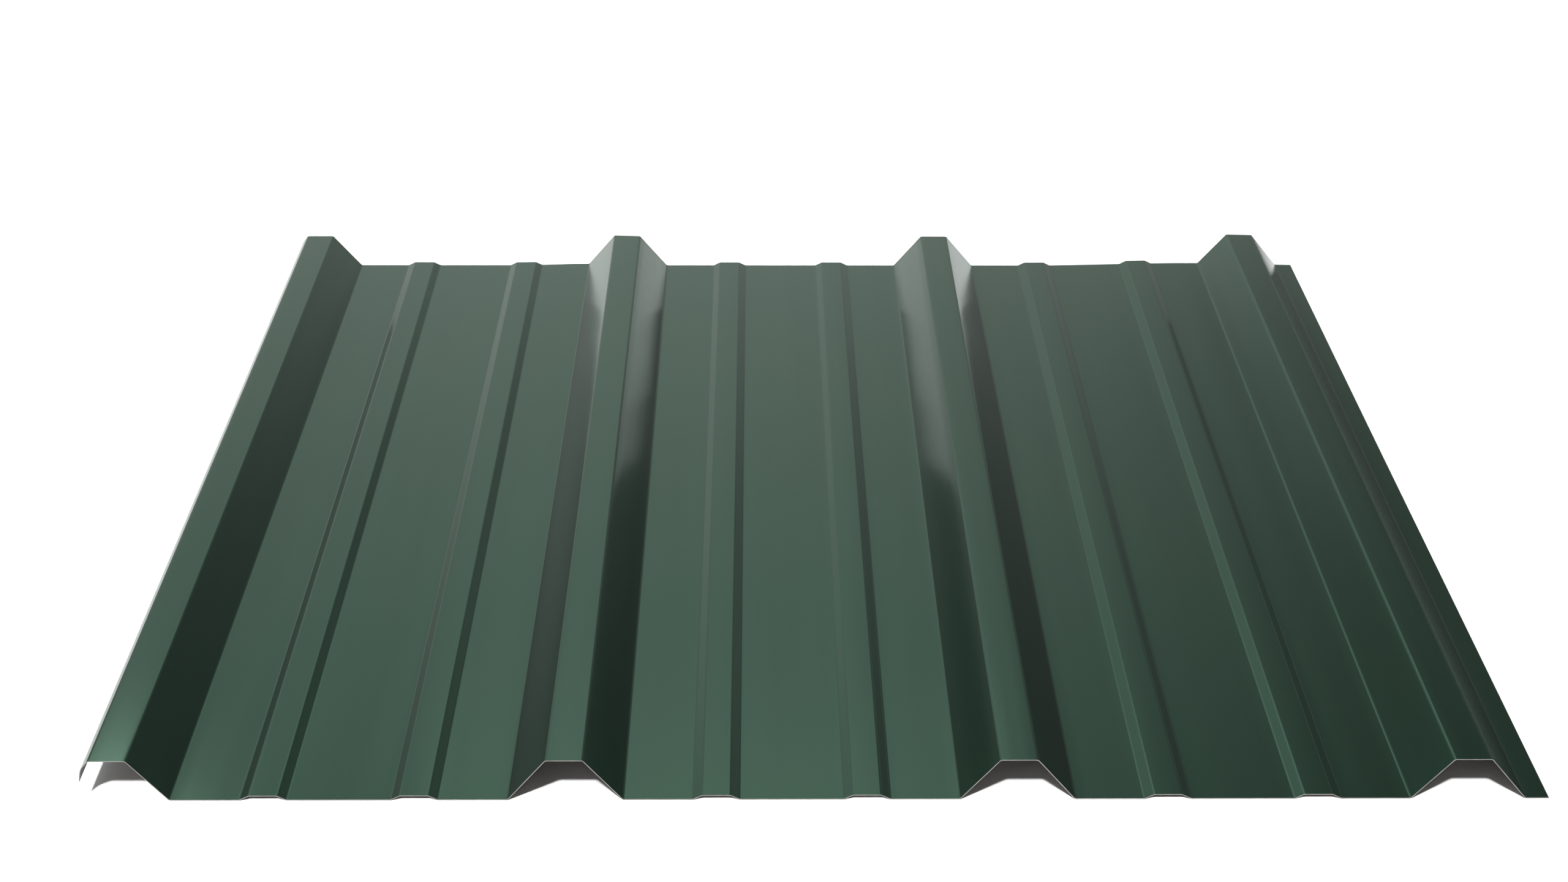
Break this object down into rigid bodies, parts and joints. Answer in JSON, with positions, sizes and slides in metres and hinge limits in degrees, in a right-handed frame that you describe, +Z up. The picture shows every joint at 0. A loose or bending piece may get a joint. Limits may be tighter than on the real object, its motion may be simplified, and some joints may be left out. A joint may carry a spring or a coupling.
{
  "type": "ribbed metal roofing sheet",
  "caption": "Flat-lying steel roofing sheet with trapezoidal ribs, shallow stiffening ribs in its pans, an overlap edge on one side and a flat bearing foot on the other.",
  "frame": {"origin": "under the middle of the sheet, level with the underside of the pans", "axes": "+X across the ribs from the overlap edge to the bearing foot, +Y along the ribs, +Z up from the pans to the crests"},
  "size_m": [0.989, 0.9144, 0.0318],
  "materials": {
    "painted_steel": "satin dark green coil paint on zinc-coated steel, with a pale backer coat underneath and bare cut edges"
  },
  "bodies": {
    "root": {"ribbed_sheet": "painted_steel"}
  },
  "joints": []
}
